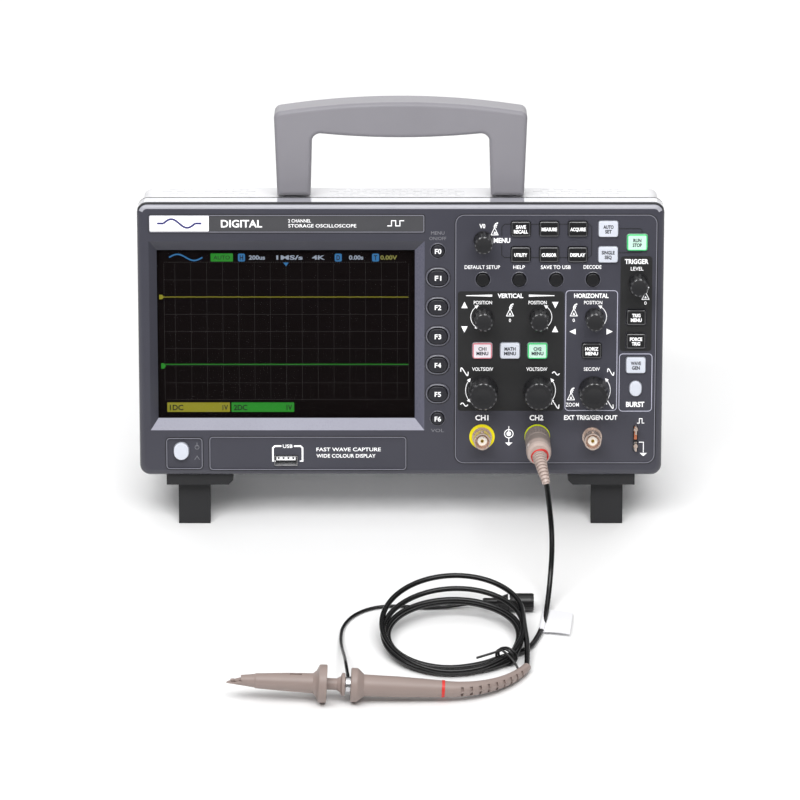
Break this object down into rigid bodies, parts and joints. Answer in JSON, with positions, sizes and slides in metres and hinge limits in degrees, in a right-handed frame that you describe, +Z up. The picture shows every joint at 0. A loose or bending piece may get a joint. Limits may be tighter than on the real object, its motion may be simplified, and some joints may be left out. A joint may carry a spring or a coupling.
{
  "type": "oscilloscope",
  "caption": "Bench oscilloscope standing on flip-out legs, with a colour display, keys, turning knobs, a folding handle and a coiled probe.",
  "frame": {"origin": "on the table, at the middle of the standing instrument's footprint box, probe not counted", "axes": "+X to the right as seen from the front, +Y from the front panel to the rear, +Z up from the table; the panel leans back 14 degrees"},
  "size_m": [0.3, 0.3415, 0.2358],
  "materials": {
    "blue_grey_abs": "fine spark-eroded texture, satin",
    "white_abs": "fine texture, satin",
    "screw_steel": "zinc plated",
    "window_glass": "clear, smooth",
    "display_panel": "lit colour display behind its window",
    "circuit_board": "solder resist",
    "plated_metal": "nickel plated, polished",
    "usb_steel": "nickel plated sheet",
    "foot_plastic": "dark satin",
    "handle_grey": "light grey satin",
    "probe_plastic": "taupe satin",
    "cable_pvc": "black PVC, soft gloss",
    "clip_rubber": "black PVC",
    "knob_plastic": "soft-touch dark grey",
    "key_black": "silicone, satin",
    "key_white": "translucent silicone",
    "key_green": "translucent silicone",
    "key_pink": "translucent silicone"
  },
  "bodies": {
    "root": {"front_bezel": "blue_grey_abs", "rear_case": "white_abs", "case_screws": "screw_steel", "display_window": "window_glass", "lcd_module": "display_panel", "control_board": "circuit_board", "main_board": "circuit_board", "power_supply": "circuit_board", "front_terminals": "plated_metal", "usb_socket": "usb_steel", "foot_bases": "foot_plastic", "probe_plug": "probe_plastic", "probe_cable": "cable_pvc", "probe_coil": "cable_pvc", "probe_body": "probe_plastic", "ground_lead": "cable_pvc", "ground_clip": "clip_rubber"},
    "key_f0": {"key_f0": "key_black"},
    "key_f1": {"key_f1": "key_black"},
    "key_f2": {"key_f2": "key_black"},
    "key_f3": {"key_f3": "key_black"},
    "key_f4": {"key_f4": "key_black"},
    "key_f5": {"key_f5": "key_black"},
    "key_f6": {"key_f6": "key_black"},
    "key_save_recall": {"key_save_recall": "key_black"},
    "key_measure": {"key_measure": "key_black"},
    "key_acquire": {"key_acquire": "key_black"},
    "key_utility": {"key_utility": "key_black"},
    "key_cursor": {"key_cursor": "key_black"},
    "key_display": {"key_display": "key_black"},
    "key_auto_set": {"key_auto_set": "key_white"},
    "key_single": {"key_single": "key_white"},
    "key_run_stop": {"key_run_stop": "key_green"},
    "key_default_setup": {"key_default_setup": "key_black"},
    "key_help": {"key_help": "key_black"},
    "key_save_usb": {"key_save_usb": "key_black"},
    "key_decode": {"key_decode": "key_black"},
    "key_ch1_menu": {"key_ch1_menu": "key_pink"},
    "key_math_menu": {"key_math_menu": "key_white"},
    "key_ch2_menu": {"key_ch2_menu": "key_green"},
    "key_horiz_menu": {"key_horiz_menu": "key_black"},
    "key_trig_menu": {"key_trig_menu": "key_black"},
    "key_force_trig": {"key_force_trig": "key_black"},
    "key_wave_gen": {"key_wave_gen": "key_white"},
    "key_burst": {"key_burst": "key_white"},
    "power_button": {"power_button": "key_white"},
    "knob_select": {"knob_select": "knob_plastic"},
    "knob_ch1_position": {"knob_ch1_position": "knob_plastic"},
    "knob_ch2_position": {"knob_ch2_position": "knob_plastic"},
    "knob_horizontal_position": {"knob_horizontal_position": "knob_plastic"},
    "knob_trigger_level": {"knob_trigger_level": "knob_plastic"},
    "knob_ch1_scale": {"knob_ch1_scale": "knob_plastic"},
    "knob_ch2_scale": {"knob_ch2_scale": "knob_plastic"},
    "knob_time_scale": {"knob_time_scale": "knob_plastic"},
    "handle": {"handle": "handle_grey"},
    "leg_left": {"leg_left": "foot_plastic"},
    "leg_right": {"leg_right": "foot_plastic"},
    "probe_hook_sleeve": {"probe_hook_sleeve": "probe_plastic"},
    "probe_lock_collar": {"probe_lock_collar": "probe_plastic"},
    "clip_jaw": {"clip_jaw": "clip_rubber"}
  },
  "joints": [
    {"name": "f0_press", "type": "slide", "parent": "root", "child": "key_f0", "axis": [0, 0.9703, -0.2419], "range_m": [0, 0.001], "stiffness_N_per_m": 800, "springref_m": -0.0004},
    {"name": "f1_press", "type": "slide", "parent": "root", "child": "key_f1", "axis": [0, 0.9703, -0.2419], "range_m": [0, 0.001], "stiffness_N_per_m": 800, "springref_m": -0.0004},
    {"name": "f2_press", "type": "slide", "parent": "root", "child": "key_f2", "axis": [0, 0.9703, -0.2419], "range_m": [0, 0.001], "stiffness_N_per_m": 800, "springref_m": -0.0004},
    {"name": "f3_press", "type": "slide", "parent": "root", "child": "key_f3", "axis": [0, 0.9703, -0.2419], "range_m": [0, 0.001], "stiffness_N_per_m": 800, "springref_m": -0.0004},
    {"name": "f4_press", "type": "slide", "parent": "root", "child": "key_f4", "axis": [0, 0.9703, -0.2419], "range_m": [0, 0.001], "stiffness_N_per_m": 800, "springref_m": -0.0004},
    {"name": "f5_press", "type": "slide", "parent": "root", "child": "key_f5", "axis": [0, 0.9703, -0.2419], "range_m": [0, 0.001], "stiffness_N_per_m": 800, "springref_m": -0.0004},
    {"name": "f6_press", "type": "slide", "parent": "root", "child": "key_f6", "axis": [0, 0.9703, -0.2419], "range_m": [0, 0.001], "stiffness_N_per_m": 800, "springref_m": -0.0004},
    {"name": "save_recall_press", "type": "slide", "parent": "root", "child": "key_save_recall", "axis": [0, 0.9703, -0.2419], "range_m": [0, 0.001], "stiffness_N_per_m": 800, "springref_m": -0.0004},
    {"name": "measure_press", "type": "slide", "parent": "root", "child": "key_measure", "axis": [0, 0.9703, -0.2419], "range_m": [0, 0.001], "stiffness_N_per_m": 800, "springref_m": -0.0004},
    {"name": "acquire_press", "type": "slide", "parent": "root", "child": "key_acquire", "axis": [0, 0.9703, -0.2419], "range_m": [0, 0.001], "stiffness_N_per_m": 800, "springref_m": -0.0004},
    {"name": "utility_press", "type": "slide", "parent": "root", "child": "key_utility", "axis": [0, 0.9703, -0.2419], "range_m": [0, 0.001], "stiffness_N_per_m": 800, "springref_m": -0.0004},
    {"name": "cursor_press", "type": "slide", "parent": "root", "child": "key_cursor", "axis": [0, 0.9703, -0.2419], "range_m": [0, 0.001], "stiffness_N_per_m": 800, "springref_m": -0.0004},
    {"name": "display_press", "type": "slide", "parent": "root", "child": "key_display", "axis": [0, 0.9703, -0.2419], "range_m": [0, 0.001], "stiffness_N_per_m": 800, "springref_m": -0.0004},
    {"name": "auto_set_press", "type": "slide", "parent": "root", "child": "key_auto_set", "axis": [0, 0.9703, -0.2419], "range_m": [0, 0.001], "stiffness_N_per_m": 800, "springref_m": -0.0004},
    {"name": "single_press", "type": "slide", "parent": "root", "child": "key_single", "axis": [0, 0.9703, -0.2419], "range_m": [0, 0.001], "stiffness_N_per_m": 800, "springref_m": -0.0004},
    {"name": "run_stop_press", "type": "slide", "parent": "root", "child": "key_run_stop", "axis": [0, 0.9703, -0.2419], "range_m": [0, 0.001], "stiffness_N_per_m": 800, "springref_m": -0.0004},
    {"name": "default_setup_press", "type": "slide", "parent": "root", "child": "key_default_setup", "axis": [0, 0.9703, -0.2419], "range_m": [0, 0.001], "stiffness_N_per_m": 800, "springref_m": -0.0004},
    {"name": "help_press", "type": "slide", "parent": "root", "child": "key_help", "axis": [0, 0.9703, -0.2419], "range_m": [0, 0.001], "stiffness_N_per_m": 800, "springref_m": -0.0004},
    {"name": "save_usb_press", "type": "slide", "parent": "root", "child": "key_save_usb", "axis": [0, 0.9703, -0.2419], "range_m": [0, 0.001], "stiffness_N_per_m": 800, "springref_m": -0.0004},
    {"name": "decode_press", "type": "slide", "parent": "root", "child": "key_decode", "axis": [0, 0.9703, -0.2419], "range_m": [0, 0.001], "stiffness_N_per_m": 800, "springref_m": -0.0004},
    {"name": "ch1_menu_press", "type": "slide", "parent": "root", "child": "key_ch1_menu", "axis": [0, 0.9703, -0.2419], "range_m": [0, 0.001], "stiffness_N_per_m": 800, "springref_m": -0.0004},
    {"name": "math_menu_press", "type": "slide", "parent": "root", "child": "key_math_menu", "axis": [0, 0.9703, -0.2419], "range_m": [0, 0.001], "stiffness_N_per_m": 800, "springref_m": -0.0004},
    {"name": "ch2_menu_press", "type": "slide", "parent": "root", "child": "key_ch2_menu", "axis": [0, 0.9703, -0.2419], "range_m": [0, 0.001], "stiffness_N_per_m": 800, "springref_m": -0.0004},
    {"name": "horiz_menu_press", "type": "slide", "parent": "root", "child": "key_horiz_menu", "axis": [0, 0.9703, -0.2419], "range_m": [0, 0.001], "stiffness_N_per_m": 800, "springref_m": -0.0004},
    {"name": "trig_menu_press", "type": "slide", "parent": "root", "child": "key_trig_menu", "axis": [0, 0.9703, -0.2419], "range_m": [0, 0.001], "stiffness_N_per_m": 800, "springref_m": -0.0004},
    {"name": "force_trig_press", "type": "slide", "parent": "root", "child": "key_force_trig", "axis": [0, 0.9703, -0.2419], "range_m": [0, 0.001], "stiffness_N_per_m": 800, "springref_m": -0.0004},
    {"name": "wave_gen_press", "type": "slide", "parent": "root", "child": "key_wave_gen", "axis": [0, 0.9703, -0.2419], "range_m": [0, 0.001], "stiffness_N_per_m": 800, "springref_m": -0.0004},
    {"name": "burst_press", "type": "slide", "parent": "root", "child": "key_burst", "axis": [0, 0.9703, -0.2419], "range_m": [0, 0.001], "stiffness_N_per_m": 800, "springref_m": -0.0004},
    {"name": "power_button_press", "type": "slide", "parent": "root", "child": "power_button", "axis": [0, 0.9703, -0.2419], "range_m": [0, 0.001], "stiffness_N_per_m": 800, "springref_m": -0.0004},
    {"name": "select_turn", "type": "hinge", "parent": "root", "child": "knob_select", "pos_m": [0.0469, -0.03266, 0.1674], "axis": [0, -0.9703, 0.2419], "continuous": true},
    {"name": "ch1_position_turn", "type": "hinge", "parent": "root", "child": "knob_ch1_position", "pos_m": [0.0473, -0.0435, 0.12394], "axis": [0, -0.9703, 0.2419], "continuous": true},
    {"name": "ch2_position_turn", "type": "hinge", "parent": "root", "child": "knob_ch2_position", "pos_m": [0.079, -0.0435, 0.12394], "axis": [0, -0.9703, 0.2419], "continuous": true},
    {"name": "horizontal_position_turn", "type": "hinge", "parent": "root", "child": "knob_horizontal_position", "pos_m": [0.1106, -0.0435, 0.12394], "axis": [0, -0.9703, 0.2419], "continuous": true},
    {"name": "trigger_level_turn", "type": "hinge", "parent": "root", "child": "knob_trigger_level", "pos_m": [0.1353, -0.03861, 0.14354], "axis": [0, -0.9703, 0.2419], "continuous": true},
    {"name": "ch1_scale_turn", "type": "hinge", "parent": "root", "child": "knob_ch1_scale", "pos_m": [0.0471, -0.05395, 0.08202], "axis": [0, -0.9703, 0.2419], "continuous": true},
    {"name": "ch2_scale_turn", "type": "hinge", "parent": "root", "child": "knob_ch2_scale", "pos_m": [0.0788, -0.05395, 0.08202], "axis": [0, -0.9703, 0.2419], "continuous": true},
    {"name": "time_scale_turn", "type": "hinge", "parent": "root", "child": "knob_time_scale", "pos_m": [0.1104, -0.05395, 0.08202], "axis": [0, -0.9703, 0.2419], "continuous": true},
    {"name": "handle_fold", "type": "hinge", "parent": "root", "child": "handle", "pos_m": [0, 0.00931, 0.18693], "axis": [-1, 0, 0], "range_deg": [0, 90]},
    {"name": "leg_left_fold", "type": "hinge", "parent": "root", "child": "leg_left", "pos_m": [-0.1191, -0.05457, 0.0258], "axis": [1, 0, 0], "range_deg": [0, 90]},
    {"name": "leg_right_fold", "type": "hinge", "parent": "root", "child": "leg_right", "pos_m": [0.1191, -0.05457, 0.0258], "axis": [1, 0, 0], "range_deg": [0, 90]},
    {"name": "hook_sleeve_slide", "type": "slide", "parent": "root", "child": "probe_hook_sleeve", "axis": [0.9987, 0, -0.0506], "range_m": [0, 0.0048], "stiffness_N_per_m": 400, "springref_m": -0.001},
    {"name": "lock_collar_turn", "type": "hinge", "parent": "root", "child": "probe_lock_collar", "pos_m": [0.0784, -0.06834, 0.05737], "axis": [0, -0.9703, 0.2419], "range_deg": [0, 90]},
    {"name": "clip_jaw_open", "type": "hinge", "parent": "root", "child": "clip_jaw", "pos_m": [0.0627, -0.16169, 0.0051], "axis": [0, -1, 0], "range_deg": [0, 22], "stiffness_Nm_per_rad": 0.05, "springref_deg": -11.46}
  ]
}
